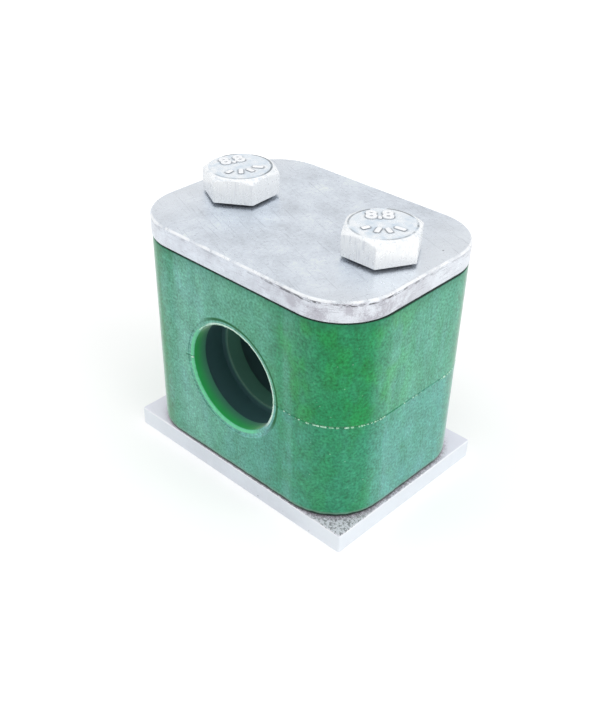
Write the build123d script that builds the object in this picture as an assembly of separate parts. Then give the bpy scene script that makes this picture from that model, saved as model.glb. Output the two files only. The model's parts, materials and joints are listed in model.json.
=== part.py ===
from build123d import *
import math
import os

# A two-bolt tube clamp: two equal ribbed halves held between a weld plate and a cover plate.
# Millimetres, +Z up. The tube lies along Y and the two bolts stand in line along X.
# The origin is the centre of the weld plate's underside.

# Tube, bolts and body
TUBE_DIAMETER = 16.0
BOLT_SPACING = 26.0
THREAD_DIAMETER = 6.0
BOLT_END_DISTANCE = 7.7  # bolt axis to the body's end
BODY_WIDTH = 30.0  # along Y
BODY_CORNER = 8.6
HALF_HEIGHT = 15.9
BODY_EDGE = 0.4  # round on the end face of each half
PARTING_EDGE = 0.12  # break on the edge where the halves meet

# Bore: ribs that grip the tube, grooves between them, a shallow rim round each mouth
RIB_COUNT = 5
RIB_WIDTH = 2.5
GROOVE_DEPTH = 0.9
GROOVE_DRAFT = 20.0  # degrees that each groove wall leans
RIM_WIDTH = 0.95
RIM_DEPTH = 0.12
MOUTH_ROUND = 0.35

# Weld plate with two drawn, tapped collars
WELD_PLATE_END_MARGIN = 0.55  # plate past the body's end
WELD_PLATE_SIDE_MARGIN = 0.1  # plate past the body's side
WELD_PLATE_THICKNESS = 3.0
WELD_PLATE_CORNER = 0.3
WELD_PLATE_EDGE = 0.2
COLLAR_WALL = 2.3
COLLAR_HEIGHT = 3.5  # above the plate
COLLAR_ROOT = 0.5
COLLAR_EDGE = 0.3
DRAW_IN = 1.0  # round where the collar was drawn from the underside
TAPPING_CHAMFER = 0.4

# Cover plate
COVER_THICKNESS = 3.0
COVER_END_MARGIN = 0.1  # body past the plate's end
COVER_CORNER_STEP = 0.4  # the plate's corners are this much sharper than the body's
COVER_TOP_EDGE = 0.4
COVER_BOTTOM_EDGE = 0.15

# Bolts
BOLT_TIP_REACH = 0.2  # tip below the weld plate's upper face
HEAD_ACROSS_FLATS = 9.8
HEAD_HEIGHT = 4.0
HEAD_CORNER = 0.2
HEAD_FLAT_DIAMETER = 9.1  # round flat left on top by the head's chamfer
HEAD_CHAMFER = 30.0  # degrees below level
WASHER_FACE_DIAMETER = 8.9
WASHER_FACE_HEIGHT = 0.35
THREAD_POINT = 0.7  # chamfer on the bolt's tip
LEFT_HEAD_TURN = 33.0  # degrees from +X to a corner of the head
RIGHT_HEAD_TURN = 1.5

# Clearances
THREAD_CLEARANCE = 0.05  # radial, bolt in collar
BOLT_CLEARANCE = 0.3  # radial, bolt in halves and cover plate
COLLAR_SIDE_CLEARANCE = 0.7  # radial, collar in its pocket
COLLAR_TOP_CLEARANCE = 0.5

# Worked out from the above
BODY_LENGTH = BOLT_SPACING + 2 * BOLT_END_DISTANCE
WELD_PLATE_LENGTH = BODY_LENGTH + 2 * WELD_PLATE_END_MARGIN
WELD_PLATE_WIDTH = BODY_WIDTH + 2 * WELD_PLATE_SIDE_MARGIN
COVER_LENGTH = BODY_LENGTH - 2 * COVER_END_MARGIN
COVER_CORNER = BODY_CORNER - COVER_CORNER_STEP
TUBE_RADIUS = TUBE_DIAMETER / 2
THREAD_RADIUS = THREAD_DIAMETER / 2
TAPPED_RADIUS = THREAD_RADIUS + THREAD_CLEARANCE
BOLT_HOLE_RADIUS = THREAD_RADIUS + BOLT_CLEARANCE
COLLAR_RADIUS = TAPPED_RADIUS + COLLAR_WALL
POCKET_RADIUS = COLLAR_RADIUS + COLLAR_SIDE_CLEARANCE
POCKET_DEPTH = COLLAR_HEIGHT + COLLAR_TOP_CLEARANCE
PARTING_LEVEL = WELD_PLATE_THICKNESS + HALF_HEIGHT
COVER_LEVEL = PARTING_LEVEL + HALF_HEIGHT
HEAD_LEVEL = COVER_LEVEL + COVER_THICKNESS
BOLT_LENGTH = HEAD_LEVEL - WELD_PLATE_THICKNESS + BOLT_TIP_REACH  # 35 mm under the head
BOLT_PLACES = {"left_bolt": -BOLT_SPACING / 2, "right_bolt": BOLT_SPACING / 2}
PAST = 1.0  # how far a cutting tool runs past a face


def upright(radius, low, high):
    """A cylinder along Z from one level to another."""
    return Pos(0, 0, low) * Cylinder(radius, high - low, align=(Align.CENTER, Align.CENTER, Align.MIN))


def outer_edges(face):
    """The edges round the outside of a face, without those of its holes."""
    return face.outer_wire().edges()


def rounded_slab(length, width, corner, low, high):
    """A flat slab with round corners between two levels."""
    return Pos(0, 0, low) * extrude(RectangleRounded(length, width, corner), high - low)


def bore_section():
    """Half the bore's section: X is the distance from the tube's axis and Y lies along it."""
    reach = BODY_WIDTH / 2
    rim_radius = TUBE_RADIUS + RIM_WIDTH
    pitch = (BODY_WIDTH - RIB_WIDTH) / (RIB_COUNT - 1)
    mouth = (pitch - RIB_WIDTH) / 2
    floor = mouth - GROOVE_DEPTH * math.tan(math.radians(GROOVE_DRAFT))
    section = Pos(TUBE_RADIUS / 2, 0) * Rectangle(TUBE_RADIUS, BODY_WIDTH)
    for i in range(RIB_COUNT - 1):
        centre = (i + 0.5) * pitch - reach + RIB_WIDTH / 2
        section += Pos(TUBE_RADIUS, centre) * Polygon(
            (-PAST, -mouth), (0, -mouth), (GROOVE_DEPTH, -floor),
            (GROOVE_DEPTH, floor), (0, mouth), (-PAST, mouth), align=None,
        )
    for side in (-1, 1):
        seat = side * (reach - RIM_DEPTH)
        flare = Pos(TUBE_RADIUS + MOUTH_ROUND / 2, seat - side * MOUTH_ROUND / 2) * Rectangle(
            MOUTH_ROUND, MOUTH_ROUND
        )
        flare -= Pos(TUBE_RADIUS + MOUTH_ROUND, seat - side * MOUTH_ROUND) * Circle(MOUTH_ROUND)
        rim = Pos(rim_radius / 2, side * (reach + (PAST - RIM_DEPTH) / 2)) * Rectangle(
            rim_radius, RIM_DEPTH + PAST
        )
        section += flare + rim
    return section


def clamp_half():
    """One half, with its parting face at level 0 and its end face below."""
    half = rounded_slab(BODY_LENGTH, BODY_WIDTH, BODY_CORNER, -HALF_HEIGHT, 0)
    half = fillet(outer_edges(half.faces().sort_by(Axis.Z)[0]), BODY_EDGE)
    half = chamfer(outer_edges(half.faces().sort_by(Axis.Z)[-1]), PARTING_EDGE)
    half -= revolve(bore_section(), Axis.Y)
    for x in BOLT_PLACES.values():
        half -= Pos(x, 0, 0) * upright(BOLT_HOLE_RADIUS, -HALF_HEIGHT - PAST, PAST)
        half -= Pos(x, 0, 0) * upright(POCKET_RADIUS, -HALF_HEIGHT - PAST, POCKET_DEPTH - HALF_HEIGHT)
    return half


def collar_profile():
    """Section of a drawn collar: X is the distance from the bolt's axis and Y is the level."""
    top = WELD_PLATE_THICKNESS + COLLAR_HEIGHT
    outside = COLLAR_RADIUS - TAPPED_RADIUS
    wall = Pos(TAPPED_RADIUS + outside / 2, top / 2) * Rectangle(outside, top)
    wall = chamfer(wall.vertices().group_by(Axis.Y)[-1].sort_by(Axis.X)[-1], COLLAR_EDGE)
    root = Pos(COLLAR_RADIUS + COLLAR_ROOT / 2, WELD_PLATE_THICKNESS + COLLAR_ROOT / 2) * Rectangle(
        COLLAR_ROOT, COLLAR_ROOT
    )
    root -= Pos(COLLAR_RADIUS + COLLAR_ROOT, WELD_PLATE_THICKNESS + COLLAR_ROOT) * Circle(COLLAR_ROOT)
    return wall + root


def tapping_cutter():
    """The tapped hole through plate and collar, drawn in below and chamfered above."""
    top = WELD_PLATE_THICKNESS + COLLAR_HEIGHT
    hole = Pos(TAPPED_RADIUS / 2, top / 2) * Rectangle(TAPPED_RADIUS, top + 2 * PAST)
    draw_in = Pos(TAPPED_RADIUS + DRAW_IN / 2, DRAW_IN / 2) * Rectangle(DRAW_IN, DRAW_IN)
    draw_in -= Pos(TAPPED_RADIUS + DRAW_IN, DRAW_IN) * Circle(DRAW_IN)
    entry = Polygon(
        (TAPPED_RADIUS - PAST, top), (TAPPED_RADIUS + TAPPING_CHAMFER, top),
        (TAPPED_RADIUS, top - TAPPING_CHAMFER), (TAPPED_RADIUS - PAST, top - TAPPING_CHAMFER), align=None,
    )
    return revolve(Plane.XZ * (hole + draw_in + entry), Axis.Z)


def weld_plate():
    """The sheared base plate with its two tapped collars."""
    plate = Box(
        WELD_PLATE_LENGTH, WELD_PLATE_WIDTH, WELD_PLATE_THICKNESS,
        align=(Align.CENTER, Align.CENTER, Align.MIN),
    )
    plate = fillet(plate.edges().filter_by(Axis.Z), WELD_PLATE_CORNER)
    plate = fillet(outer_edges(plate.faces().sort_by(Axis.Z)[-1]), WELD_PLATE_EDGE)
    collar = revolve(Plane.XZ * collar_profile(), Axis.Z)
    cutter = tapping_cutter()
    for x in BOLT_PLACES.values():
        plate += Pos(x, 0, 0) * collar
        plate -= Pos(x, 0, 0) * cutter
    return plate


def cover_plate():
    """The blanked plate under the bolt heads, round on top where the punch drew it in."""
    plate = rounded_slab(COVER_LENGTH, BODY_WIDTH, COVER_CORNER, COVER_LEVEL, HEAD_LEVEL)
    plate = fillet(outer_edges(plate.faces().sort_by(Axis.Z)[-1]), COVER_TOP_EDGE)
    plate = fillet(outer_edges(plate.faces().sort_by(Axis.Z)[0]), COVER_BOTTOM_EDGE)
    for x in BOLT_PLACES.values():
        plate -= Pos(x, 0, 0) * upright(BOLT_HOLE_RADIUS, COVER_LEVEL - PAST, HEAD_LEVEL + PAST)
    return plate


def bolt_head(turn):
    """A hexagon head standing on level 0, with a round washer face below and a chamfer on top."""
    hexagon = Rot(0, 0, turn) * RegularPolygon(HEAD_ACROSS_FLATS / 2, 6, major_radius=False)
    prism = extrude(hexagon, HEAD_HEIGHT)
    prism = fillet(prism.edges().filter_by(Axis.Z), HEAD_CORNER)
    flat = HEAD_FLAT_DIAMETER / 2
    washer = WASHER_FACE_DIAMETER / 2
    wide = HEAD_ACROSS_FLATS
    drop = (wide - flat) * math.tan(math.radians(HEAD_CHAMFER))
    envelope = Polygon(
        (0, 0), (washer, 0), (washer, WASHER_FACE_HEIGHT), (wide, WASHER_FACE_HEIGHT),
        (wide, HEAD_HEIGHT - drop), (flat, HEAD_HEIGHT), (0, HEAD_HEIGHT), align=None,
    )
    return prism & revolve(Plane.XZ * envelope, Axis.Z)


def bolt(x, turn):
    """A hexagon bolt threaded to the head, at its place along X."""
    shank = upright(THREAD_RADIUS, -BOLT_LENGTH, WASHER_FACE_HEIGHT)
    shank = chamfer(shank.faces().sort_by(Axis.Z)[0].edges(), THREAD_POINT)
    return Pos(x, 0, HEAD_LEVEL) * (bolt_head(turn) + shank)


def main():
    """Build each piece at its place and write it."""
    half = clamp_half()
    pieces = {
        "weld_plate": weld_plate(),
        "lower_clamp_half": Pos(0, 0, PARTING_LEVEL) * half,
        "upper_clamp_half": Pos(0, 0, PARTING_LEVEL) * Rot(180, 0, 0) * half,
        "cover_plate": cover_plate(),
        "left_bolt": bolt(BOLT_PLACES["left_bolt"], LEFT_HEAD_TURN),
        "right_bolt": bolt(BOLT_PLACES["right_bolt"], RIGHT_HEAD_TURN),
    }
    os.makedirs("parts", exist_ok=True)
    for name, piece in pieces.items():
        export_step(piece, f"parts/{name}.step")


main()
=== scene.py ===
"""Looks of a two-bolt tube clamp: threaded bolts, tapped collars, flash, finishes and stage."""

import json
import math

import bmesh
import bpy
import numpy as np
from mathutils import Matrix, Vector


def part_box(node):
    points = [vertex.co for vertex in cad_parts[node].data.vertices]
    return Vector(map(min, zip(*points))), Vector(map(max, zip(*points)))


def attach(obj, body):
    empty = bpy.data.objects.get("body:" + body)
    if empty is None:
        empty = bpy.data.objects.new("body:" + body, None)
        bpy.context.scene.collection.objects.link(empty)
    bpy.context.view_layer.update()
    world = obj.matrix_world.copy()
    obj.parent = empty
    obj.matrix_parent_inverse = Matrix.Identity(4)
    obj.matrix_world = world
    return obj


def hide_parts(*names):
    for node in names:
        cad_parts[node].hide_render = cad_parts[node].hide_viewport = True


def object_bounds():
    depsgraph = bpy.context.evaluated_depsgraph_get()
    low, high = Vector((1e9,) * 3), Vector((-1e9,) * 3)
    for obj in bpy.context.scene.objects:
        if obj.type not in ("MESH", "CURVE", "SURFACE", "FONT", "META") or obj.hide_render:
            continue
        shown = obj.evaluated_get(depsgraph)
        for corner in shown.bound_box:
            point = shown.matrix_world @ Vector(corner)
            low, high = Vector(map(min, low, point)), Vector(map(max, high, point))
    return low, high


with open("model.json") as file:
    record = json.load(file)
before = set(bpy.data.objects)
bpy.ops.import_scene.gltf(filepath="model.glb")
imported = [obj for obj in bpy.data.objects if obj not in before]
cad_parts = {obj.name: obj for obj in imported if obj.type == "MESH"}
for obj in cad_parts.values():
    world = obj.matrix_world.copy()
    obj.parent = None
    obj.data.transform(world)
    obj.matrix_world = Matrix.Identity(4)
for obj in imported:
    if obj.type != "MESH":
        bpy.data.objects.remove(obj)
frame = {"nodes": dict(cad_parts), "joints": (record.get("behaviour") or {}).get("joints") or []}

bl_info = {
    "name": "Tube clamp looks",
    "version": (1, 0, 0),
    "blender": (4, 5, 0),
    "location": "View3D > Sidebar > Tube clamp",
    "description": "Dresses a two-bolt tube clamp with its threads, marks, seam flash and finishes",
    "category": "Add Mesh",
}

CAD_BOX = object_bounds()
MM = 0.001
THREAD_COLUMNS = 64  # steps of a thread in one turn

# Levels and places of the clamp, read from the fixed frame
WELD_LO, WELD_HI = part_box("weld_plate")
LOWER_LO, LOWER_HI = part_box("lower_clamp_half")
UPPER_LO, UPPER_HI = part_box("upper_clamp_half")
COVER_LO, COVER_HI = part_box("cover_plate")
LEFT_LO, LEFT_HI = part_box("left_bolt")
RIGHT_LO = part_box("right_bolt")[0]
PARTING_LEVEL = LOWER_HI.z
HEAD_LEVEL = COVER_HI.z
BODY_LENGTH, BODY_WIDTH = UPPER_HI.x - UPPER_LO.x, UPPER_HI.y - UPPER_LO.y
BOLT_X = {name: next(j["pos_m"][0] for j in frame["joints"] if j["child"] == name)
          for name in ("left_bolt", "right_bolt")}


# ---------------- sizes and colours


def metres(name, about, value, least=0.01 * MM):
    """A length that the user can set."""
    return bpy.props.FloatProperty(
        name=name, description=about, default=value, min=least, subtype="DISTANCE", unit="LENGTH")


def degrees(name, about, value, **limits):
    """An angle that the user can set, its default in degrees."""
    return bpy.props.FloatProperty(
        name=name, description=about, default=math.radians(value), subtype="ANGLE",
        unit="ROTATION", **limits)


def rgb(name, about, value):
    """A colour that the user can set."""
    return bpy.props.FloatVectorProperty(
        name=name, description=about, default=value, size=3, min=0, max=1, subtype="COLOR")


def number(name, about, value, least=0, **limits):
    """A plain number that the user can set."""
    return bpy.props.FloatProperty(
        name=name, description=about, default=value, min=least, **limits)


class CLAMP_PG_bolt(bpy.types.PropertyGroup):
    """Sizes of the two hexagon bolts."""

    thread_diameter: metres("Thread diameter", "Across the thread's crests", 5.95 * MM, 1 * MM)
    pitch: metres("Pitch", "Rise of the thread in one turn", 1.0 * MM, 0.2 * MM)
    across_flats: metres("Across flats", "Width of the head between two flats", 9.8 * MM, 2 * MM)
    corner: metres("Corner radius", "Round on the head's six upright corners", 0.2 * MM)
    head_height: metres("Head height", "Head above the cover plate", LEFT_HI.z - COVER_HI.z, 1 * MM)
    flat_diameter: metres(
        "Top flat", "Diameter of the round flat on top of the head", 9.1 * MM, 1 * MM)
    chamfer_angle: degrees(
        "Chamfer angle", "Fall of the head's chamfer below level", 30, min=0.1, max=1.0)
    washer_diameter: metres(
        "Washer face", "Diameter of the raised bearing face under the head", 8.9 * MM, 1 * MM)
    washer_height: metres(
        "Washer face height", "Height of the bearing face under the head", 0.35 * MM, 0.05 * MM)
    tip_chamfer: metres("Tip chamfer", "Chamfer on the end of the thread", 0.7 * MM)
    left_turn: degrees("Left head turn", "From +X to a corner of the left head", 33)
    right_turn: degrees("Right head turn", "From +X to a corner of the right head", 1.5)
    mark: bpy.props.StringProperty(
        name="Strength mark", description="Raised strength number on the head", default="8.8")
    mark_size: metres("Mark size", "Type size of the raised number", 3.0 * MM, 0.5 * MM)
    mark_relief: metres("Mark relief", "How far the marks stand above the head", 0.15 * MM)
    left_mark_turn: degrees("Left mark turn", "From +X to the left mark's line of type", 70)
    right_mark_turn: degrees("Right mark turn", "From +X to the right mark's line of type", 43)
    collar_bore: metres(
        "Collar bore", "Diameter of the plain hole in the weld plate's collars", 6.1 * MM, 1 * MM)


class CLAMP_PG_plastic(bpy.types.PropertyGroup):
    """The moulded halves' colours and the flash on their seam."""

    # green is the pigment where no painted sheen lies; the milky green is painted on the faces as
    # their sheen
    green: rgb("Green", "Pigment of the moulding where it is smooth", (0.014, 0.250, 0.092))
    painted_sheen_green: rgb("Bloom", "Milky green of the scuffed flat faces", (0.210, 0.515, 0.430))
    flash_colour: rgb(
        "Flash colour", "Stressed, whitened plastic of the seam flash", (0.66, 0.93, 0.78))
    flash_height: metres(
        "Flash height", "Height of the largest flecks of flash on the seam", 0.34 * MM, 0.02 * MM)
    flash_reach: metres(
        "Flash reach", "How far the largest flecks stand out of the seam", 0.16 * MM)
    corner_radius: metres("Body corner", "Radius of the body's upright corners", 8.6 * MM, 1 * MM)
    bore_radius: metres("Bore radius", "Radius of the ribs that grip the tube", 8.0 * MM, 1 * MM)
    mouth_radius: metres(
        "Mouth radius", "Outer radius of the shallow rim round the bore", 8.95 * MM, 1 * MM)


class CLAMP_PG_steel(bpy.types.PropertyGroup):
    """Colours of the plates and bolts."""

    cover_steel: rgb("Cover plate", "Dull zinc of the cover plate", (0.80, 0.86, 0.94))
    weld_steel: rgb("Weld plate", "Pale steel of the weld plate", (0.86, 0.90, 0.97))
    bolt_zinc: rgb("Bolt zinc", "Bright zinc of the bolts", (0.94, 0.965, 0.99))
    # the dark of oily, dusty pits, also laid under the bolt heads as painted shade
    grime_and_shade: rgb("Grime", "Dark oil and dust in the recesses", (0.035, 0.04, 0.05))


class CLAMP_PG_stage(bpy.types.PropertyGroup):
    """Floor, lamps and camera."""

    floor_size: metres("Floor size", "Length of the floor's side", 6.0, 0.5)
    floor_colour: rgb("Floor", "Paper under the clamp", (0.82, 0.82, 0.82))
    ambient: number("Ambient", "Strength of the room's soft light", 0.55)
    lamp_power: number("Lamp power", "Power of the large lamp overhead, in watts", 1.0)
    ceiling: number("Ceiling", "Brightness of the ceiling where metal mirrors it", 0.80, max=1)
    focal_length: number("Focal length", "Camera lens in millimetres on a 36 mm frame", 48.46, 1)
    azimuth: degrees("Azimuth", "Camera's bearing round the clamp from the front", 45.24)
    elevation: degrees("Elevation", "Camera's height above level", 37.72)
    roll: degrees("Roll", "Camera's tilt about its own axis", -0.29)
    distance: metres("Distance", "Camera to its aim", 0.1235, 0.01)
    aim: bpy.props.FloatVectorProperty(
        name="Aim", description="Point on the camera's axis",
        default=(0.01177, -0.01969, 0.020), size=3, subtype="TRANSLATION", unit="LENGTH")
    shift: bpy.props.FloatVectorProperty(
        name="Shift", description="Sideways and upward shift of the lens",
        default=(0.0474, 0.0972), size=2)


# ---------------- mesh tools


def grid_faces(rows, columns, wrap, count=1):
    """Quads of grids of rows by columns, one after another, each joined round if wrap is true."""
    index = np.arange(rows * columns).reshape(rows, columns)
    if wrap:
        index = np.concatenate([index, index[:, :1]], axis=1)
    quads = np.stack([index[:-1, :-1], index[:-1, 1:], index[1:, 1:], index[1:, :-1]], -1)
    first = np.arange(count)[:, None, None] * rows * columns
    return (quads.reshape(1, -1, 4) + first).reshape(-1, 4)


def vertices_of(mesh):
    """A mesh's points as rows of x, y and z."""
    points = np.empty(len(mesh.vertices) * 3, np.float32)
    mesh.vertices.foreach_get("co", points)
    return points.reshape(-1, 3)


def linked(name, data):
    """A new object in the scene."""
    obj = bpy.data.objects.new(name, data)
    bpy.context.scene.collection.objects.link(obj)
    return obj


def as_object(name, points, faces, crease, extra=()):
    """A closed, outward-facing object from points and quads, its doubles merged.

    Faces that meet at less than the crease, in degrees, are shaded smooth. Extra meshes join it."""
    mesh = bpy.data.meshes.new(name)
    mesh.from_pydata(points.reshape(-1, 3), [], faces)
    work = bmesh.new()
    work.from_mesh(mesh)
    for other in extra:
        work.from_mesh(other)
        bpy.data.meshes.remove(other)
    bmesh.ops.remove_doubles(work, verts=work.verts, dist=0.002 * MM)
    bmesh.ops.dissolve_degenerate(work, edges=work.edges, dist=0.001 * MM)
    bmesh.ops.recalc_face_normals(work, faces=work.faces)
    work.to_mesh(mesh)
    work.free()
    mesh.polygons.foreach_set("use_smooth", np.ones(len(mesh.polygons), bool))
    mesh.set_sharp_from_angle(angle=math.radians(crease))
    mesh.update()
    return linked(name, mesh)


def dress(obj, body, finish, replaced=None):
    """Gives a piece its finish and body, and hides the solid it stands for."""
    obj.data.materials.clear()
    obj.data.materials.append(finish_of(finish))
    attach(obj, body)
    if replaced:
        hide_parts(replaced)


def moved(grid, x=0.0, z=0.0):
    """The same points and quads at another place."""
    points, faces = grid
    return points + np.array([x, 0.0, z]), faces


def join(grids):
    """Several grids as one set of points and quads."""
    points = [p.reshape(-1, 3) for p, _ in grids]
    starts = np.cumsum([0] + [len(p) for p in points])
    return np.concatenate(points), np.concatenate([f + s for (_, f), s in zip(grids, starts)])


def swept(radius, angle, height):
    """Points from their radius, their angle round the axis and their height."""
    return np.stack([radius * np.cos(angle), radius * np.sin(angle), height], -1)


def eased(path, radius):
    """A broken line with its inner corners eased.

    Each corner is a parabola that starts and ends one radius from the corner along its two legs.
    path is points by columns by 2; every column is eased alike."""
    rows = [path[:1]]
    s = np.linspace(0, 1, 4)[:, None, None]
    for i in range(1, len(path) - 1):
        back, on = path[i - 1] - path[i], path[i + 1] - path[i]
        far_back = np.linalg.norm(back, axis=-1, keepdims=True)
        far_on = np.linalg.norm(on, axis=-1, keepdims=True)
        reach = np.minimum(radius, 0.45 * np.minimum(far_back, far_on))
        start = path[i] + back / (far_back + 1e-12) * reach
        end = path[i] + on / (far_on + 1e-12) * reach
        rows.append((1 - s) ** 2 * start + 2 * s * (1 - s) * path[i] + s**2 * end)
    rows.append(path[-1:])
    return np.concatenate(rows)


def hexagon_radius(theta, flat_radius, corner):
    """Distance from the axis to the side of a hexagon with rounded corners.

    Between corners it is the flat radius over the cosine of the angle from the flat's middle.
    In a corner it is the far side of a circle of the corner radius, whose centre lies on the
    line to the corner."""
    phi = np.abs((theta + np.pi / 6) % (np.pi / 3) - np.pi / 6)
    centre = (flat_radius - corner) / math.cos(math.pi / 6)
    meets = math.pi / 6 - math.atan((flat_radius - corner) * math.tan(math.pi / 6) / flat_radius)
    round_part = centre * np.cos(phi) + np.sqrt(
        np.maximum(corner**2 - (centre * np.sin(phi)) ** 2, 0))
    return np.where(phi < meets, round_part, flat_radius / np.cos(math.pi / 6 - phi))


def bolt_head(size, turn):
    """Points and quads of a hexagon head standing on level zero.

    For each angle round the axis a broken line runs from the middle of the washer face, out and
    up to the hexagon's side, up to a cone that falls from the round flat on top, and in to the
    middle. The side stops where the cone at the side's own radius lies. The flat is a disc that
    waves by about a hundredth of a millimetre, as a forged one does."""
    ease, flat_ease, wave = 0.14 * MM, 0.01 * MM, 0.012 * MM
    fine = np.linspace(0, 2 * np.pi, 240, endpoint=False)
    corners = (np.arange(6)[:, None] * np.pi / 3 + np.linspace(-0.05, 0.05, 9)[None, :]).ravel()
    theta = np.unique(np.round(np.concatenate([fine, corners % (2 * np.pi)]), 6))
    side = hexagon_radius(theta, size.across_flats / 2, size.corner)
    flat, washer = size.flat_diameter / 2, size.washer_diameter / 2
    top, step = size.head_height, size.washer_height
    shoulder = top - (side - flat) * math.tan(size.chamfer_angle)
    profile = ((0, 0), (washer * 0.6, 0), (washer, 0), (washer - 0.05 * MM, step), (side, step),
               (side, shoulder), (flat, top), (flat * 0.93, top - flat_ease))
    path = np.stack([np.stack([r + 0 * theta, z + 0 * theta], -1) for r, z in profile])
    path = eased(path, ease)
    disc = np.linspace(0.91, 0, 30)[:, None] * flat + 0 * theta
    waves = wave * np.sin(disc / MM * 2.1 + 3 * np.cos(theta)) * (disc / flat)
    path = np.concatenate([path, np.stack([disc, top - 2 * flat_ease + waves], -1)])
    points = swept(path[..., 0], theta + turn, path[..., 1])
    return points, grid_faces(len(path), len(theta), True)


def screw_thread(size, low, high):
    """Points and quads of a right-hand threaded rod between two levels.

    Row k of turn n lies at pitch times (n + angle / full turn) plus the row's own height, so the
    rows climb with the thread. A row's radius is the thread's profile: a narrow crest, 60 degree
    flanks and a rounded root. The rod is no wider than a cone at its tip, the thread runs out to
    a plain neck at its upper end, and rows past either end close in to the axis."""
    radius, pitch = size.thread_diameter / 2, size.pitch
    deep = 0.613 * pitch  # depth of a metric thread
    height = np.array([-0.5, -0.42, -0.374, -0.0625, 0.0625, 0.374, 0.42]) * pitch
    shape = radius - deep * np.array([0.96, 0.94, 0.88, 0.0, 0.0, 0.88, 0.94])
    turns = np.arange(math.floor(low / pitch) - 3, math.ceil(high / pitch) + 3)
    theta = np.linspace(0, 2 * np.pi, THREAD_COLUMNS + 1)
    z = (pitch * turns[:, None] + height[None, :]).reshape(-1, 1) + pitch * theta / (2 * np.pi)
    r = np.tile(shape, len(turns))[:, None] + 0 * theta
    neck = np.clip((z - (high - 2.6 * pitch)) / pitch, 0, 1)
    r = r * (1 - neck) + (radius - 0.5 * deep) * neck
    r = np.minimum(r, radius - size.tip_chamfer + np.maximum(z - low, 0))
    r = r * np.clip(1 + (z - low) / pitch, 0, 1) * np.clip(1 - (z - high) / pitch, 0, 1)
    return swept(r, theta, np.clip(z, low, high)), grid_faces(*r.shape, False)


def tapped_thread(size, low, high):
    """Points and quads of the ridge of an inside thread between two levels.

    A trapezoid is carried along a helix half a pitch above the bolt's crests. Its foot lies just
    inside the hole's wall and its crest points to the axis. It shrinks to a point at both ends."""
    wall, pitch = size.collar_bore / 2, size.pitch
    turns = (high - low) / pitch
    along = np.linspace(0, 2 * np.pi * turns, int(THREAD_COLUMNS * turns) + 1)[:, None]
    foot = 0.05 * pitch
    # reach from the wall and height of each point of the trapezoid
    reach = np.array([-0.05, 0.0, 0.58, 0.59, 0.59, 0.58, 0.0, -0.05])[None, :] * pitch
    height = np.array([-0.46, -0.45, -0.12, -0.10, 0.10, 0.12, 0.45, 0.46])[None, :] * pitch
    grow = np.clip(np.minimum(along, along[-1] - along) / (0.6 * np.pi), 0, 1)
    r = wall + foot - (reach + foot) * grow
    z = low + pitch * along / (2 * np.pi) + height * grow
    start = 2 * np.pi * ((low / pitch - 0.5) % 1.0)
    return swept(r, along + start, z), grid_faces(*r.shape, True)


def outline(length, width, corner):
    """A function from distance to place and outward direction round a rounded rectangle.

    The walk starts at the middle of the +Y side and runs clockwise seen from above: straight
    runs and quarter circles in turn. Each point is the centre of the next corner, plus the
    corner's radius outwards, less what is left of a straight run."""
    hx, hy = length / 2 - corner, width / 2 - corner
    centres = np.array([[hx, hy], [hx, -hy], [-hx, -hy], [-hx, hy]])
    arc = math.pi / 2 * corner
    ends = np.cumsum([0, *(2 * hx, arc, 2 * hy, arc) * 2])

    def at(distance):
        """Place and outward direction at each distance from the start."""
        s = (distance + hx) % ends[-1]
        run = np.searchsorted(ends, s, side="right") - 1
        quarter, on_arc = run // 2, run % 2 == 1
        angle = np.pi / 2 * (1 - quarter) - np.where(on_arc, (s - ends[run]) / corner, 0)
        ahead = np.where(on_arc, 0, ends[run + 1] - s)[..., None]
        c, d = np.cos(angle), np.sin(angle)
        out, onward = np.stack([c, d], -1), np.stack([d, -c], -1)
        return centres[quarter] + corner * out - ahead * onward, out

    return at, ends[-1]


def mark_tally(turn):
    """Four raised strokes that fan out from the head's middle, each at its own lean and length.

    A stroke is a rounded ridge: an ellipse in section, carried along a short line."""
    steps, sides = 15, 12
    around = np.linspace(0, 2 * np.pi, sides, endpoint=False)[None, None, :]
    s = np.linspace(-1, 1, steps)[None, :, None]
    bearing = np.radians([-152.0, -112.0, -72.0, -34.0])[:, None, None]
    middle = np.array([2.55, 2.0, 2.05, 2.5])[:, None, None] * MM
    half = np.array([0.62, 0.8, 0.7, 0.85])[:, None, None] * MM
    thick = 0.36 * MM * np.sqrt(np.maximum(1 - s**8, 0))
    out = middle + s * half
    side = thick * np.cos(around)
    c, d = np.cos(bearing + turn), np.sin(bearing + turn)
    points = np.stack([out * c - side * d, out * d + side * c,
                       thick * 0.45 * np.sin(around) + 0 * out], -1)
    return points.reshape(-1, 3), grid_faces(steps, sides, True, len(bearing))


def flecks(at, middle, long, size, reach, rise, chance):
    """Points and quads of thin flecks of flash along a path.

    at gives the place, outward and sideways directions for distances along the path. A fleck is a
    spindle: an ellipse in section, carried along the path between the fleck's two ends, with a
    thickness that is one at the middle, nothing at the ends, and jagged in between."""
    steps, sides = 13, 8
    u = np.linspace(-1, 1, steps)[None, :]
    v = np.linspace(0, 2 * np.pi, sides, endpoint=False)[None, None, :]
    place, out, side = at(middle[:, None] + long[:, None] / 2 * u)
    jag = 0.55 + 0.45 * chance.uniform(0, 1, (len(middle), steps))
    thick = (np.sqrt(np.maximum(1 - u**4, 0)) * jag * size[:, None])[:, :, None]
    points = (place[:, :, None, :]
              + out[:, :, None, :] * (reach * thick * np.cos(v) - reach * 0.4)[..., None]
              + side[:, :, None, :] * (rise / 2 * thick * np.sin(v))[..., None])
    return points.reshape(-1, 3), grid_faces(steps, sides, True, len(middle))


# ---------------- material tools


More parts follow.
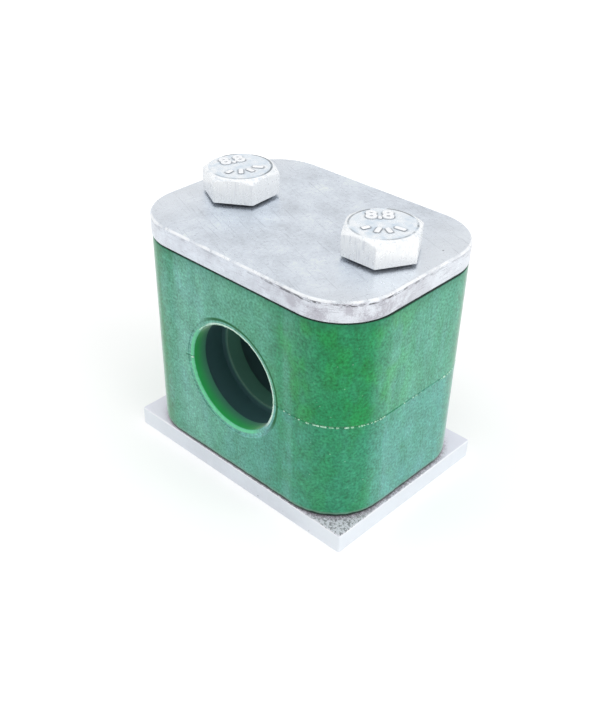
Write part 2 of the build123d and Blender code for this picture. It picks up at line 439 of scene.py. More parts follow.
class Wire:
    """One shader value. Operators on it add Math nodes, or Vector Math nodes for a colour."""

    def __init__(self, nodes, socket):
        self.nodes, self.socket = nodes, socket

    def maths(self, operation, *values):
        """One maths node: the vector kind if any value is a tuple, a vector or a colour."""
        wide = any(isinstance(v, tuple) or isinstance(v, Wire)
                   and v.socket.type in ("VECTOR", "RGBA") for v in values)
        if wide:
            values = [v if isinstance(v, (Wire, tuple)) else (v, v, v) for v in values]
        kind = "ShaderNodeVectorMath" if wide else "ShaderNodeMath"
        return self.nodes.node(kind, {"operation": operation}, dict(enumerate(values)))

    def __add__(self, other):
        return self.maths("ADD", self, other)

    __radd__ = __add__

    def __sub__(self, other):
        return self.maths("SUBTRACT", self, other)

    def __rsub__(self, other):
        return self.maths("SUBTRACT", other, self)

    def __mul__(self, other):
        return self.maths("MULTIPLY", self, other)

    __rmul__ = __mul__

    def __abs__(self):
        return self.maths("ABSOLUTE", self)

    def at_least(self, other):
        """The larger of two values."""
        return self.maths("MAXIMUM", self, other)

    def root(self):
        """Square root."""
        return self.maths("SQRT", self)


class Nodes:
    """Fills the node tree of a material or a world."""

    def __init__(self, tree):
        self.tree = tree
        tree.nodes.clear()

    def node(self, kind, settings=None, sockets=None, out=0):
        """Adds a node: its settings first, then its sockets' values or links."""
        made = self.tree.nodes.new(kind)
        for key, value in (settings or {}).items():
            setattr(made, key, value)
        for key, value in (sockets or {}).items():
            self.feed(made.inputs[key], value)
        return Wire(self, made.outputs[out]) if made.outputs else None

    def feed(self, socket, value):
        """Sets a socket, or links it."""
        if isinstance(value, Wire):
            self.tree.links.new(value.socket, socket)
        elif isinstance(value, tuple) and socket.type == "RGBA":
            socket.default_value = (*value, 1.0)
        else:
            socket.default_value = value

    def parts(self, kind, sockets=None):
        """All the outputs of a new node, by name."""
        made = self.node(kind, sockets=sockets).socket.node
        return {output.name: Wire(self, output) for output in made.outputs}

    def split(self, vector):
        """The three parts of a vector."""
        return self.parts("ShaderNodeSeparateXYZ", {0: vector}).values()

    def ramp(self, value, low, high, to_low=0.0, to_high=1.0):
        """Carries a value from one range to another, smoothly and with clamped ends."""
        return self.node("ShaderNodeMapRange", {"interpolation_type": "SMOOTHSTEP"}, {
            "Value": value, "From Min": low, "From Max": high, "To Min": to_low, "To Max": to_high})


class Finish(Nodes):
    """A material under construction, with one Principled shader."""

    def __init__(self, name):
        self.material = bpy.data.materials.new(name)
        self.material.use_nodes = True
        super().__init__(self.material.node_tree)
        # object coordinates in millimetres
        self.at = self.node("ShaderNodeTexCoord", out="Object") * (1 / MM)
        self.shader = self.node("ShaderNodeBsdfPrincipled")
        self.node("ShaderNodeOutputMaterial", sockets={"Surface": self.shader})

    def surface(self, **sockets):
        """Sets the shader's sockets by name, with _ for a space."""
        for key, value in sockets.items():
            self.feed(self.shader.socket.node.inputs[key.replace("_", " ")], value)

    def facing(self):
        """The surface's own direction in object space."""
        return self.node("ShaderNodeTexCoord", out="Normal")

    def pattern(self, kind, scale, place=(0.0, 0.0, 0.0), turn=0.0, **sockets):
        """A random pattern, about one change per 1/scale millimetres.

        A scale of three numbers stretches it: one Mapping node turns the coordinates about Z, and
        another scales and moves them."""
        vector = self.at
        if turn:
            vector = self.node("ShaderNodeMapping", sockets={
                "Vector": vector, "Rotation": (0.0, 0.0, turn)})
        if isinstance(scale, tuple):
            vector = self.node("ShaderNodeMapping", sockets={
                "Vector": vector, "Location": place, "Scale": scale})
            scale = 1.0
        return self.node(kind, sockets={"Vector": vector, "Scale": scale, **sockets})

    def noise(self, scale, detail=3.0, roughness=0.5, distortion=0.0, **where):
        """Soft random shades from 0 to 1."""
        return self.pattern("ShaderNodeTexNoise", scale, Detail=detail, Roughness=roughness,
                            Distortion=distortion, **where)

    def swing(self, scale, detail=3.0, roughness=0.5):
        """The same noise, from -0.5 to 0.5."""
        return self.noise(scale, detail, roughness) - 0.5

    def cells(self, scale):
        """Distance to the nearest of randomly placed points."""
        return self.pattern("ShaderNodeTexVoronoi", scale)

    def mix(self, factor, first, second):
        """A blend of two colours."""
        return self.node(
            "ShaderNodeMix", {"data_type": "RGBA"}, {0: factor, 6: first, 7: second}, out=2)

    def layered(self, colour, *layers):
        """A colour with tints laid over it in turn, each by its share."""
        for share, tint in layers:
            colour = self.mix(share, colour, tint)
        return colour

    def bump(self, height, strength, distance):
        """A raised pattern; its height is in shares of the distance."""
        return self.node("ShaderNodeBump", sockets={
            "Height": height, "Strength": strength, "Distance": distance})


def clamp_plastic(scene):
    """Moulded polypropylene: deep green, with a painted milky sheen on most faces and painted shade
    that darkens the bore.
    """
    sizes = scene.clamp_plastic
    f = Finish("clamp_plastic_moulded")
    x, y, z = f.split(f.at)
    nx, ny, nz = f.split(f.facing())
    low, seam, high = LOWER_LO.z / MM, PARTING_LEVEL / MM, UPPER_HI.z / MM
    face = BODY_WIDTH / 2 / MM
    grip, mouth = sizes.bore_radius / MM, sizes.mouth_radius / MM
    radius = (x * x + (z - seam) * (z - seam)).root()
    inward = face - abs(y)
    long_face = f.ramp(abs(ny), 0.90, 0.999)
    end_face = f.ramp(abs(nx), 0.93, 0.999)
    cloud = f.swing(0.13)
    streak = f.swing((0.5, 0.5, 0.07), 2.0)
    mottle = f.swing(0.55, 2.0)
    speck = f.swing(2.8, 2.0, 0.6)
    lower = f.ramp(z, seam + 0.3, seam - 0.3)
    within = f.ramp(radius, mouth + 0.35, mouth + 0.15)
    rim = within * f.ramp(inward, 0.5, 0.3)
    # painted sheen: the corner towards +X and -Y gets none; the others get as much as the flats
    unsheened_corner = f.ramp(x - y, 20.0, 28.0)
    flats = (long_face * f.ramp(x, 14.0, -10.0, 0.12, 0.74)).at_least(
        end_face * f.ramp(y, -9.0, -2.0, 0.26, 0.47))
    flats = flats.at_least((1.0 - unsheened_corner) * 0.42).at_least(rim * 0.70)
    # painted highlight: a paler upright band where the corner without painted sheen runs into each
    # flat
    highlight_band = f.ramp(abs(x - y - 26.0), 1.5, 0.2) * (0.18 + streak * 0.5)
    uneven = cloud * 0.45 + streak * 0.5 + mottle * 0.45
    sheen_share = flats + lower * f.ramp(x, 0.0, 15.0) * 0.08 + 0.03 + highlight_band + uneven * (0.35 + flats)
    # painted sheen: the left front corner gets less of it than the flat beside it
    sheen_share = sheen_share - f.ramp(x + y, -24.5, -27.0) * 0.32
    colour = f.mix(sheen_share, tuple(sizes.green), tuple(sizes.painted_sheen_green))
    # painted sheen: the two opposite corners that the camera sees edge-on are painted pale
    silhouette_sheen = f.ramp(abs(x + y) + mottle * 1.2, 29.2, 30.7)
    colour = f.mix(silhouette_sheen * 0.36, colour, (0.42, 0.74, 0.62))
    # slow drifts of the pigment, yellower and bluer, and a fine grain
    warm = f.noise((0.28, 0.28, 0.16), 2.0)
    cool = f.noise((0.35, 0.35, 0.15), 2.0, place=(7.0, 2.0, 5.0))
    for share, tint in (
            (f.ramp(warm, 0.46, 0.64) * (0.08 + unsheened_corner * (0.45 - lower * 0.25)), (0.62, 1.10, 0.45)),
            (f.ramp(cool, 0.46, 0.64) * 0.22, (1.0, 0.90, 1.15)),
            (lower * f.ramp(x, -8.0, 6.0) * 0.9, (1.0, 1.0, 1.16))):
        colour = colour * f.mix(share, (1.0, 1.0, 1.0), tint)
    colour = colour * (1.0 + speck * 1.75 + mottle * 0.45)
    pale = f.ramp(f.cells(0.8), 0.10, 0.04) * f.ramp(f.noise(0.4, 1.0), 0.45, 0.6)
    shade = f.ramp(z, high - 1.9, high - 0.2) * (1.0 - rim)
    # painted shade: the bore keeps its deep colour near the mouths and is painted darker inwards,
    # past its first rib; a painted highlight lies on the second rib's front edge
    bore = within * f.ramp(inward, 0.28, 0.45)
    land = f.mix(f.ramp(inward, 0.4, 2.6), (0.027, 0.40, 0.095), (0.070, 0.25, 0.165))
    groove = f.ramp(radius, grip + 0.1, grip + 0.5)
    inside = f.mix(groove, (0.095, 0.26, 0.20), (0.050, 0.125, 0.135))
    second_rib_highlight = f.ramp(abs(inward - 6.9), 0.16, 0.03) * f.ramp(radius, grip + 0.35, grip + 0.1)
    # the mouth's round is painted near white above and has a pale painted highlight below; a
    # painted shadow lies in the step of its rim
    upward = x + (z - seam)
    at_mouth = f.ramp(inward, 0.45, 0.3)
    round_edge = f.ramp(abs(radius - (grip + 0.22)), 0.24, 0.14) * at_mouth
    pale_edge_highlight = f.ramp(abs(radius - (grip + 0.26)), 0.32, 0.16) * at_mouth
    step = f.ramp(abs(radius - (mouth + 0.05)), 0.34, 0.16) * f.ramp(inward, 0.3, 0.15)
    # painted shade with some soiling along the edges that meet the plates, and a grey worn line
    # over the lower one
    worn = f.ramp(z, low + 1.0, low + 0.6)
    grime_and_shade = f.ramp(z + mottle * 0.5, low + 0.63, low + 0.46).at_least(
        f.ramp(z, high - 0.30, high - 0.18))
    # dirt in the seam, but not where the skin closes it, nor on the parting faces themselves
    closed = f.ramp(x, -8.9, -9.6) * f.ramp(y, 0.0, -1.0)
    joint = f.ramp(abs(z - seam), 0.15, 0.06) * (1.0 - bore) * (1.0 - closed)
    joint = joint * f.ramp(f.noise(0.6, 2.0), 0.36, 0.56, 0.35, 1.0) * f.ramp(abs(nz), 0.8, 0.5)
    colour = f.layered(
        colour,
        (pale * 0.5, (0.35, 0.62, 0.48)),
        (shade * 0.32, (0.012, 0.12, 0.075)),
        (bore, land),
        (bore * f.ramp(inward, 2.4, 2.8), inside),
        (bore * second_rib_highlight * 0.55, (0.20, 0.34, 0.28)),
        (round_edge * f.ramp(upward, 1.0, 5.0) * 0.9, (0.80, 0.97, 0.88)),
        (pale_edge_highlight * f.ramp(upward, 1.0, -4.0) * 0.8, (0.16, 0.70, 0.36)),
        (step * f.ramp(upward, 0.0, 6.0), (0.006, 0.13, 0.04)),
        (worn * 0.55, (0.22, 0.32, 0.27)),
        (grime_and_shade * 0.95, (0.006, 0.016, 0.014)),
        (joint * 0.7, (0.008, 0.08, 0.04)))
    grain = f.noise(7.0, 3.0, 0.6) * 0.6 + f.noise(1.6, 2.0) * 0.7
    f.surface(
        Base_Color=colour,
        Roughness=f.ramp(mottle, -0.25, 0.25, 0.44, 0.62),
        IOR=1.49,
        Specular_IOR_Level=0.3,
        Sheen_Weight=0.9,
        Sheen_Roughness=0.27,
        Normal=f.bump(grain, 0.35, 0.04 * MM),
    )
    return f.material


def steel(name, base, grime_and_shade, top, bright_side, tone, scratch, metal, rough, torn=False, foot=None):
    """Zinc-coated plate: a soft cloudy grey with fine scratches, pits and dark specks.

    top is the level of its upper face. A torn plate's sides have a broken line of tears where the
    blank parted. foot is half the length, half the width and the corner radius of a block that
    stands on the plate: a dusty band with painted contact shadow lies along it, and one corner of
    the plate is worn and grainy."""
    f = Finish(name)
    top = top / MM
    x, y, z = f.split(f.at)
    _, _, nz = f.split(f.facing())
    side = f.ramp(abs(nz), 0.5, 0.2)
    # painted highlight: a broken bright line along the upper edges, where the plate is also made
    # less metallic
    edge = f.ramp(abs(nz), 0.97, 0.85) * f.ramp(abs(nz), 0.08, 0.3) * f.ramp(
        z, top - 0.7, top - 0.4) * f.ramp(f.noise(0.6, 2.0), 0.30, 0.55)
    cloud = f.swing(0.22, 4.0, 0.6)
    grain = f.swing(1.9, 4.0, 0.65)
    fine = f.swing(6.0, 3.0, 0.6)
    # two families of fine scratches, each along its own bearing
    along = f.noise((0.16, 3.6, 3.6), 2.0, 0.5, 0.4, turn=0.35)
    across = f.noise((0.22, 4.2, 4.2), 2.0, 0.5, 0.4, place=(3.0, 5.0, 1.0), turn=1.9)
    lines = (f.ramp(along, 0.62, 0.70) + f.ramp(across, 0.64, 0.72) * 0.7) * (1.0 - side)
    shade = 1.0 + cloud * tone * 2.4 + grain * tone * 1.5 + fine * tone * 0.9
    base = tuple(base)
    body = f.mix(side, base, tuple(c * bright_side for c in base)) * shade
    body = f.layered(
        body,
        (f.ramp(abs(x), 9.0, 20.0) * 0.65, (0.90, 0.94, 0.99)),
        (lines * 0.25 * scratch, (0.35, 0.38, 0.43)))
    height = grain * 0.8 + fine * 0.5 + lines * 0.5
    if torn:
        # the sheared sides: bluish blotches, drawn streaks, and tears just under the upper edge
        near = side * (0.25 + 0.75 * f.ramp(x - y, 16.0, 30.0))
        blotch = near * f.ramp(f.noise(0.55, 3.0, 0.6) + fine * 0.5, 0.36, 0.64)
        drawn = side * f.ramp(f.noise((0.4, 0.4, 8.0), 3.0, 0.6), 0.55, 0.68)
        tears = near * f.ramp(abs(z - (top - 0.52)), 0.24, 0.10) * f.ramp(
            f.noise((0.9, 0.9, 3.0), 3.0, 0.65), 0.46, 0.58)
        body = f.layered(
            body,
            (near * 0.22, (0.52, 0.50, 0.56)),
            (blotch * 0.66, (0.36, 0.34, 0.39)),
            (drawn * 0.45, (0.30, 0.30, 0.34)),
            (tears * 0.9, (0.07, 0.07, 0.08)))
        height = height - tears
    pits = f.ramp(f.cells((0.8, 0.48, 0.8)), 0.12, 0.05) * f.ramp(
        f.noise(0.35, 2.0), 0.54, 0.66)
    body = f.layered(body, (pits * 0.65, tuple(grime_and_shade)), (edge * 0.8, (0.97, 0.985, 1.0)))
    height = height - pits * 1.5
    if foot:
        # the grainy patch lies round the plate's corner towards +X and -Y
        half_length, half_width, corner = (size / MM for size in foot)
        upper = f.ramp(nz, 0.5, 0.9)
        reach = (x - 21.0) * (x - 21.0) + (y + 15.0) * (y + 15.0)
        patch = f.ramp(reach, 75.0, 12.0) * upper
        dots = patch * f.ramp(f.noise(3.2, 3.0, 0.7), 0.49, 0.60)
        wide = (abs(x) - (half_length - corner)).at_least(0.0)
        deep = (abs(y) - (half_width - corner)).at_least(0.0)
        away = (wide * wide + deep * deep).root() - corner
        # a dusty band round the block's foot, which is also its painted contact shadow
        dust_and_shade = f.ramp(away, 1.0, 0.0) * upper * f.ramp(x - y, -5.0, 25.0, 0.15, 1.0)
        body = f.layered(
            body,
            (upper * 0.7, (0.88, 0.84, 0.95)),
            (patch * 0.30, (0.58, 0.56, 0.62)),
            (dots * 0.75, (0.10, 0.10, 0.12)),
            (dust_and_shade * f.ramp(fine + grain, -0.12, 0.10) * 0.7, (0.14, 0.14, 0.16)))
        height = height - dots * 1.2
    f.surface(
        Base_Color=body,
        Metallic=metal * (1.0 - edge * 0.6),
        Roughness=f.ramp(grain, -0.25, 0.25, rough, rough + 0.14),
        Normal=f.bump(height, 0.12, 0.03 * MM),
    )
    return f.material


def weld_steel(scene):
    """The weld plate: pale, grainy steel with a dusty band and painted contact shadow along the
    block that stands on it.
    """
    colours, corner = scene.clamp_steel, scene.clamp_plastic.corner_radius
    return steel("weld_plate_zinc", colours.weld_steel, colours.grime_and_shade, LOWER_LO.z, bright_side=0.89,
                 tone=0.08, scratch=0.4, metal=0.30, rough=0.5,
                 foot=(BODY_LENGTH / 2, BODY_WIDTH / 2, corner))


def cover_steel(scene):
    """The cover plate: dull, scratched zinc with torn sides."""
    colours = scene.clamp_steel
    return steel("cover_plate_zinc", colours.cover_steel, colours.grime_and_shade, COVER_HI.z,
                 bright_side=0.86, tone=0.28, scratch=1.1, metal=0.92, rough=0.25, torn=True)


def bolt_zinc(scene):
    """Bright zinc on a forged bolt: soft ripples, draw lines down the flats, painted light on the
    sides that face +X and painted shade under the head.
    """
    colours, size = scene.clamp_steel, scene.clamp_bolt
    f = Finish("bolt_zinc_bright")
    x, y, z = f.split(f.at)
    nx, _, nz = f.split(f.facing())
    foot, top = HEAD_LEVEL / MM, LEFT_HI.z / MM
    ripple = f.swing(0.9, 3.0, 0.55)
    fine = f.swing(5.0, 3.0, 0.6)
    side = f.ramp(abs(nz), 0.45, 0.15)
    drawn = f.swing((4.5, 4.5, 0.4), 3.0, 0.55) * side
    lines = side * f.ramp(f.noise((6.0, 6.0, 0.45), 2.0, place=(2.0, 0.0, 4.0)), 0.53, 0.66)
    lines = lines * f.ramp(nx, 0.9, 0.3, 0.35, 1.0)
    chamfer = f.ramp(nz, 0.95, 0.90) * f.ramp(nz, 0.45, 0.6)
    cloudy = chamfer * f.ramp(f.noise(1.7, 3.0, 0.6), 0.50, 0.68)
    # the round flat is duller; a painted shade ring lies at its rim, and it is soiled and painted
    # darker round the marks
    flat = f.ramp(nz, 0.93, 0.985) * f.ramp(z, top - 0.2, top - 0.1)
    dirt = f.node("ShaderNodeAttribute", {"attribute_name": "dirt"}, out="Fac")
    away = abs(x) - BOLT_X["right_bolt"] / MM
    radius = (away * away + y * y).root()
    rim_radius = size.flat_diameter / 2 / MM - 0.13
    # painted shade: a broken dark ring at the flat's rim, heavier towards +Y
    rim = f.ramp(abs(radius - rim_radius), 0.22, 0.06) * f.ramp(z, top - 0.3, top - 0.15)
    rim = rim * f.ramp(f.noise(0.4, 2.0), 0.40, 0.56)
    # painted shade: the washer face's band under the hexagon is painted dark and made rougher
    under_head_shade = f.ramp(z, foot + 0.39, foot + 0.30)
    body = f.layered(
        tuple(colours.bolt_zinc) * (1.0 + ripple * 0.16 + fine * 0.05 + drawn * 0.2),
        # painted light: the head's sides that face +X are painted brighter
        (side * f.ramp(nx, -0.2, 0.3) * 0.8, (0.98, 0.995, 1.0)),
        (lines * 0.36, (0.50, 0.54, 0.62)),
        (chamfer * 0.7, (0.95, 0.97, 0.99)),
        (cloudy * 0.5, (0.56, 0.64, 0.72)),
        (flat * (0.36 + ripple * 1.8), (0.50, 0.62, 0.74)),
        (f.ramp(dirt, 0.15, 0.9) * 0.85, (0.16, 0.18, 0.21)),
        (f.ramp(z, top + 0.02, top + 0.06) * 0.9, (0.96, 0.97, 0.99)),
        (rim * f.ramp(y, -4.5, 1.5, 0.40, 0.85), (0.14, 0.16, 0.18)),
        (under_head_shade * 0.98, tuple(colours.grime_and_shade)))
    f.surface(
        Base_Color=body,
        Metallic=0.3,
        Roughness=f.ramp(ripple, -0.25, 0.25, 0.22, 0.36) + under_head_shade * 0.3,
        Normal=f.bump(ripple * 1.2 + fine * 0.12 + drawn * 0.6, 0.3, 0.05 * MM),
    )
    return f.material


def flash_plastic(scene):
    """Stressed flash: nearly white green, glossy, uneven."""
    f = Finish("seam_flash_whitened")
    pale, deep = tuple(scene.clamp_plastic.flash_colour), (0.30, 0.62, 0.42)
    f.surface(
        Base_Color=f.mix(f.ramp(f.noise(2.2, 3.0, 0.6), 0.35, 0.65), pale, deep),
        Roughness=0.35,
        IOR=1.49,
        Normal=f.bump(f.noise(12.0, 2.0), 0.3, 0.02 * MM),
    )
    return f.material


FINISHES = {
    "clamp_plastic_moulded": clamp_plastic,
    "seam_flash_whitened": flash_plastic,
    "weld_plate_zinc": weld_steel,
    "cover_plate_zinc": cover_steel,
    "bolt_zinc_bright": bolt_zinc,
}


def finish_of(name):
    """A finish by its name, made once and shared."""
    return bpy.data.materials.get(name) or FINISHES[name](bpy.context.scene)


# ---------------- operators


class CLAMP_OT_threaded_bolts(bpy.types.Operator):
    """Makes the two hexagon bolts, threaded and marked, in place of the plain ones"""

    bl_idname = "clamp.threaded_bolts"
    bl_label = "Threaded bolts"

    def execute(self, context):
        size = context.scene.clamp_bolt
        top = HEAD_LEVEL + size.head_height
        bolts = (("left_bolt", size.left_turn, size.left_mark_turn, LEFT_LO.z),
                 ("right_bolt", size.right_turn, size.right_mark_turn, RIGHT_LO.z))
        for name, turn, mark_turn, tip in bolts:
            strokes = mark_tally(mark_turn)
            # the rod's top end is hidden inside the head
            grid = join([moved(bolt_head(size, turn), z=HEAD_LEVEL),
                         screw_thread(size, tip, HEAD_LEVEL + 0.6 * MM), moved(strokes, z=top)])
            typed = mark_type(context, size, BOLT_X[name], mark_turn)
            marks = np.concatenate([vertices_of(typed), moved(strokes, BOLT_X[name])[0]])[:, :2]
            piece = as_object(name + "_threaded", *moved(grid, BOLT_X[name]), 32, (typed,))
            soil_and_shade_round_marks(piece.data, marks, top)
            dress(piece, name, "bolt_zinc_bright", name)
        return {"FINISHED"}


def mark_type(context, size, x, turn):
    """The strength number as a mesh, raised from the head's flat and set off its middle."""
    curve = bpy.data.curves.new("strength_mark", "FONT")
    curve.body = size.mark
    curve.size = size.mark_size
    curve.align_x, curve.align_y = "CENTER", "CENTER"
    curve.extrude = size.mark_relief
    curve.bevel_depth = 0.05 * MM
    curve.bevel_resolution = 2
    curve.offset = 0.06 * MM
    typed = linked("strength_mark", curve)
    context.view_layer.update()
    mesh = bpy.data.meshes.new_from_object(typed.evaluated_get(context.evaluated_depsgraph_get()))
    bpy.data.objects.remove(typed)
    bpy.data.curves.remove(curve)
    mesh.transform(
        Matrix.Translation((x, 0, HEAD_LEVEL + size.head_height - 0.04 * MM))
        @ Matrix.Rotation(turn, 4, "Z")
        @ Matrix.Translation((-0.3 * MM, 2.3 * MM, 0)))
    return mesh


def soil_and_shade_round_marks(mesh, marks, level):
    """Stores how dirty, and how deep in painted shadow, each point of the head's flat is: 1 beside
    a mark, less with distance.

    The marks themselves, which stand above the flat, get none."""
    reach, batch = 0.22 * MM, 400
    co = vertices_of(mesh)
    dirt = np.zeros(len(co), np.float32)
    flat = np.flatnonzero((co[:, 2] > level - 0.3 * MM) & (co[:, 2] < level + 0.01 * MM))
    gap = np.full(len(flat), 1.0)
    for part in np.array_split(marks, max(1, len(marks) // batch)):
        apart = co[flat, None, :2] - part[None]
        gap = np.minimum(gap, np.sqrt((apart**2).sum(-1)).min(1))
    dirt[flat] = np.exp(-gap / reach)
    mesh.attributes.new("dirt", "FLOAT", "POINT").data.foreach_set("value", dirt)


class CLAMP_OT_collar_threads(bpy.types.Operator):
    """Lays the ridges of the tapped threads in the weld plate's collars"""

    bl_idname = "clamp.collar_threads"
    bl_label = "Collar threads"

    def execute(self, context):
        ridge = tapped_thread(
            context.scene.clamp_bolt, WELD_LO.z + 1.2 * MM, WELD_HI.z - 0.55 * MM)
        grid = join([moved(ridge, x) for x in BOLT_X.values()])
        piece = as_object("collar_threads", *grid, 35)
        dress(piece, "base", "weld_plate_zinc")
        return {"FINISHED"}


def seam_flecks(plastic):
    """Flecks at random places on the seam: most at the corners, none over the bore or the skin."""
    count, share_on_flats = 260, 0.3
    at, whole = outline(BODY_LENGTH, BODY_WIDTH, plastic.corner_radius)

    def seam(distance):
        """Place on the seam, straight out from it, and straight up."""
        place, out = at(distance)
        level = np.full(place.shape[:-1] + (1,), PARTING_LEVEL - 0.12 * MM)
        up = np.broadcast_to([0.0, 0.0, 1.0], place.shape[:-1] + (3,))
        return np.concatenate([place, level], -1), np.concatenate([out, 0 * level], -1), up

    chance = np.random.default_rng(7)
    middle = chance.uniform(0, whole, count)
    size = chance.uniform(0.45, 1.0, count) ** 1.3
    long = chance.uniform(0.16, 0.50, count) * MM * (0.5 + size)
    x, y = at(middle)[0].T
    clear = (np.abs(x) > plastic.mouth_radius + 0.6 * MM) | (np.abs(y) < BODY_WIDTH / 2 - 0.5 * MM)
    skinned = (x < 0) & (y < 0)
    corner = (np.abs(x) > BODY_LENGTH / 2 - plastic.corner_radius - 3 * MM) & (
        np.abs(y) > BODY_WIDTH / 2 - plastic.corner_radius)
    keep = clear & ~skinned & (corner | (chance.uniform(0, 1, count) < share_on_flats))
    size = np.where(corner, size, size * 0.75)
    return flecks(seam, middle[keep], long[keep], size[keep], plastic.flash_reach,
                  plastic.flash_height, chance)


def seam_skin(plastic):
    """A strip that fills the seam's groove from the bore to past the left front corner.

    A flat five-sided section, a few microns proud, is carried along the outline."""
    steps = 80
    at, whole = outline(BODY_LENGTH, BODY_WIDTH, plastic.corner_radius)
    start = whole * 0.5 + plastic.mouth_radius + 0.15 * MM
    end = whole * 0.5 + BODY_LENGTH / 2 + plastic.corner_radius
    along = np.linspace(start, end, steps)
    place, out = at(along)
    wide = np.array([0.0, 0.004, 0.004, 0.0, -0.09]) * MM
    tall = np.array([-0.13, -0.09, 0.09, 0.13, 0.0]) * MM
    fade = np.clip(np.minimum(along - start, end - along) / (0.6 * MM), 0, 1)[:, None]
    points = np.stack([place[:, :1] + out[:, :1] * wide, place[:, 1:] + out[:, 1:] * wide,
                       PARTING_LEVEL + tall * fade], -1)
    return points, grid_faces(steps, len(wide), True)


class CLAMP_OT_seam_flash(bpy.types.Operator):
    """Lays the broken flecks of flash along the seam, and the skin that closes one end of it"""

    bl_idname = "clamp.seam_flash"
    bl_label = "Seam flash"

    def execute(self, context):
        plastic = context.scene.clamp_plastic
        for name, make, finish in (("seam_flash", seam_flecks, "seam_flash_whitened"),
                                   ("seam_skin", seam_skin, "clamp_plastic_moulded")):
            dress(as_object(name, *make(plastic), 50), "base", finish)
        return {"FINISHED"}


def mouth_flecks(plastic, end, first, last, count, chance, more=()):
    """Flecks round one mouth of the bore, from a first to a last angle from +X.

    end is -1 or 1, for the mouth towards -Y or +Y. more is the angle, length and size of one
    extra fleck."""
    radius, level = plastic.bore_radius + 0.19 * MM, BODY_WIDTH / 2 - 0.15 * MM
    inward, along = math.sin(0.4), math.cos(0.4)

    def mouth(angle):
        """Place on the mouth's round, straight out from it, and along its section."""
        c, s, e = np.cos(angle), np.sin(angle), np.full(angle.shape, end)
        return (np.stack([radius * c, level * e, PARTING_LEVEL + radius * s], -1),
                np.stack([-inward * c, along * e, -inward * s], -1),
                np.stack([along * c, inward * e, along * s], -1))

    angle = np.radians(np.linspace(first, last, count) + chance.uniform(-1, 1, count))
    long = np.radians(chance.uniform(2.5, 5.0, count))
    size = chance.uniform(0.55, 1.0, count)
    if more:
        angle, long, size = (np.append(a, b) for a, b in zip((angle, long, size), more))
    return flecks(mouth, angle, long, size, 0.11 * MM, 0.38 * MM, chance)


class CLAMP_OT_mouth_flash(bpy.types.Operator):
    """Lays the thin bright flash on the rounded edge of the bore's two mouths"""

    bl_idname = "clamp.mouth_flash"
    bl_label = "Mouth flash"

    def execute(self, context):
        chance = np.random.default_rng(11)
        # the lower half has one more fleck, at the far side, by the end of the skin
        halves = (("upper_mouth_flash", "clamp_top", (2, 140, 54), ()),
                  ("lower_mouth_flash", "base", (-22, -2, 6), (math.pi + 0.02, 0.04, 1.2)))
        for name, body, spread, more in halves:
            parts = [mouth_flecks(context.scene.clamp_plastic, end, *spread, chance, more)
                     for end in (-1, 1)]
            piece = as_object(name, *join(parts), 50)
            dress(piece, body, "seam_flash_whitened")
        return {"FINISHED"}


class CLAMP_OT_finishes(bpy.types.Operator):
    """Gives the moulded halves and the steel plates their finishes"""

    bl_idname = "clamp.finishes"
    bl_label = "Finishes"

    def execute(self, context):
        worn_by = {
            "lower_clamp_half": "clamp_plastic_moulded",
            "upper_clamp_half": "clamp_plastic_moulded",
            "cover_plate": "cover_plate_zinc",
            "weld_plate": "weld_plate_zinc",
        }
        for node, finish in worn_by.items():
            for slot in frame["nodes"][node].material_slots:
                slot.material = finish_of(finish)
        return {"FINISHED"}


def paper(size):
    """White paper: pale and lit as usual, with a glow of its own that carries it to white."""
    f = Finish("floor_paper")
    rays = f.parts("ShaderNodeLightPath")
    seen = rays["Is Camera Ray"].at_least(rays["Is Glossy Ray"]).at_least(
        rays["Is Transmission Ray"])
    x, y, _ = f.split(f.at)
    # further than 45 mm from the clamp's middle the paper whitens with distance
    far = f.ramp((x * x + y * y).root(), 45.0, 160.0) * rays["Is Camera Ray"]
    f.surface(
        Base_Color=tuple(size.floor_colour),
        Roughness=0.9,
        Specular_IOR_Level=0.0,
        Emission_Color=seen * 0.22 + far * 0.6,
        Emission_Strength=1.0,
    )
    return f.material


def room(scene, size):
    """White where it is seen or mirrored, softer where it only lights."""
    scene.world = bpy.data.worlds.new("white_room")
    scene.world.use_nodes = True
    n = Nodes(scene.world.node_tree)
    rays = n.parts("ShaderNodeLightPath")
    _, _, up = n.split(n.node("ShaderNodeTexCoord", out="Generated"))
    mirrored = n.ramp(up, 0.0, 0.35, 1.0, size.ceiling)
    plain = rays["Is Camera Ray"].at_least(rays["Is Transmission Ray"])
    glossy = n.node("ShaderNodeMix", sockets={
        0: rays["Is Glossy Ray"], 2: size.ambient, 3: mirrored})
    level = n.node("ShaderNodeMix", sockets={0: plain, 2: glossy, 3: 1.0})
    light = n.node("ShaderNodeBackground", sockets={"Color": (1.0, 1.0, 1.0), "Strength": level})
    n.node("ShaderNodeOutputWorld", sockets={"Surface": light})


def lamps(size):
    """Three square lamps, each aimed at the clamp's middle."""
    middle = (CAD_BOX[0] + CAD_BOX[1]) / 2
    # each lamp's place, its side and its share of the lamp power
    for name, place, side, share in (
            ("top_lamp", (0.05, -0.05, 0.45), 0.5, 1.0),
            ("left_lamp", (-0.35, -0.25, 0.22), 0.35, 0.42),
            ("right_lamp", (0.38, 0.02, 0.20), 0.35, 0.60)):
        data = bpy.data.lights.new(name, "AREA")
        data.shape, data.size = "SQUARE", side
        data.energy = size.lamp_power * share
        lamp = linked(name, data)
        lamp.location = place
        lamp.rotation_euler = (middle - Vector(place)).to_track_quat("-Z", "Y").to_euler()
        lamp.visible_camera = lamp.visible_glossy = False


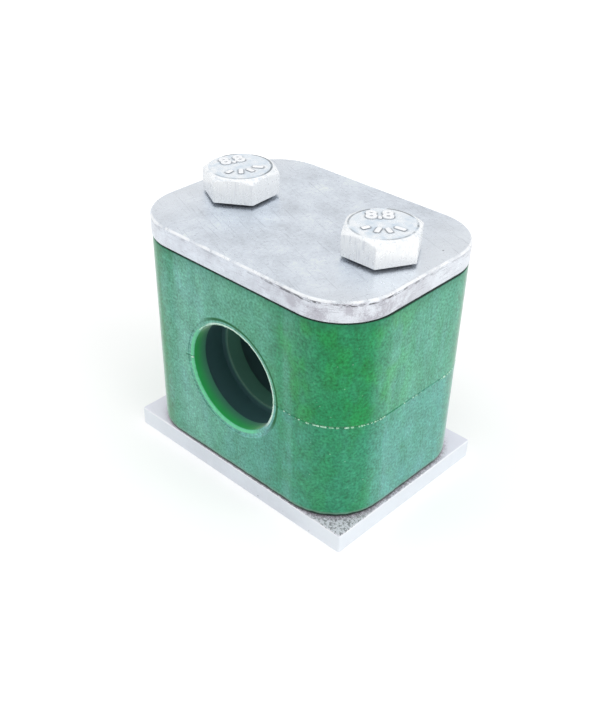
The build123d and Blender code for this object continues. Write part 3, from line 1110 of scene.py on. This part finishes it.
def camera(scene, size):
    """A camera looking at its aim from the given bearing, height and distance."""
    a, e, r = size.azimuth, size.elevation, size.roll
    back = Vector((math.sin(a) * math.cos(e), -math.cos(a) * math.cos(e), math.sin(e)))
    right = Vector((math.cos(a), math.sin(a), 0.0))
    up = back.cross(right)
    across = right * math.cos(r) + up * math.sin(r)
    upward = up * math.cos(r) - right * math.sin(r)
    data = bpy.data.cameras.new("bench_camera")
    data.sensor_fit, data.sensor_width = "AUTO", 36.0
    data.lens = size.focal_length
    data.shift_x, data.shift_y = size.shift
    data.clip_start, data.clip_end = 0.005, 50.0
    place = Matrix((across, upward, back)).transposed().to_4x4()
    place.translation = Vector(size.aim) + back * size.distance
    scene.camera = linked("bench_camera", data)
    scene.camera.matrix_world = place


class CLAMP_OT_stage(bpy.types.Operator):
    """Sets the paper floor, the soft lamps and the camera"""

    bl_idname = "clamp.stage"
    bl_label = "Stage"

    def execute(self, context):
        scene = context.scene
        size = scene.clamp_stage
        # the floor lies a hair under the plate, so that the two don't share a plane
        half, level = size.floor_size / 2, -0.02 * MM
        mesh = bpy.data.meshes.new("paper_floor")
        mesh.from_pydata([(-half, -half, level), (half, -half, level), (half, half, level),
                          (-half, half, level)], [], [(0, 1, 2, 3)])
        floor = linked("paper_floor", mesh)
        mesh.materials.append(paper(size))
        room(scene, size)
        lamps(size)
        camera(scene, size)
        scene.view_settings.view_transform = "Standard"
        return {"FINISHED"}


class CLAMP_PT_panel(bpy.types.Panel):
    """The clamp's sizes, colours and steps"""

    bl_idname = "CLAMP_PT_panel"
    bl_label = "Tube clamp"
    bl_space_type = "VIEW_3D"
    bl_region_type = "UI"
    bl_category = "Tube clamp"

    def draw(self, context):
        for name in GROUPS:
            group = getattr(context.scene, name)
            box = self.layout.box()
            for key in group.bl_rna.properties.keys():
                if key not in ("rna_type", "name"):
                    box.prop(group, key)
        for step in STEPS:
            self.layout.operator(step.bl_idname)


STEPS = (CLAMP_OT_threaded_bolts, CLAMP_OT_collar_threads, CLAMP_OT_seam_flash,
         CLAMP_OT_mouth_flash, CLAMP_OT_finishes, CLAMP_OT_stage)
GROUPS = {
    "clamp_bolt": CLAMP_PG_bolt,
    "clamp_plastic": CLAMP_PG_plastic,
    "clamp_steel": CLAMP_PG_steel,
    "clamp_stage": CLAMP_PG_stage,
}


def register():
    """Registers the classes and hangs the property groups on the scene."""
    for cls in (*GROUPS.values(), *STEPS, CLAMP_PT_panel):
        bpy.utils.register_class(cls)
    for name, group in GROUPS.items():
        setattr(bpy.types.Scene, name, bpy.props.PointerProperty(type=group))


def unregister():
    """Takes them off again."""
    for name in GROUPS:
        delattr(bpy.types.Scene, name)
    for cls in reversed((*GROUPS.values(), *STEPS, CLAMP_PT_panel)):
        bpy.utils.unregister_class(cls)


def main():
    """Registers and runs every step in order."""
    register()
    for step in STEPS:
        family, name = step.bl_idname.split(".")
        getattr(getattr(bpy.ops, family), name)()


if __name__ == "__main__":
    main()
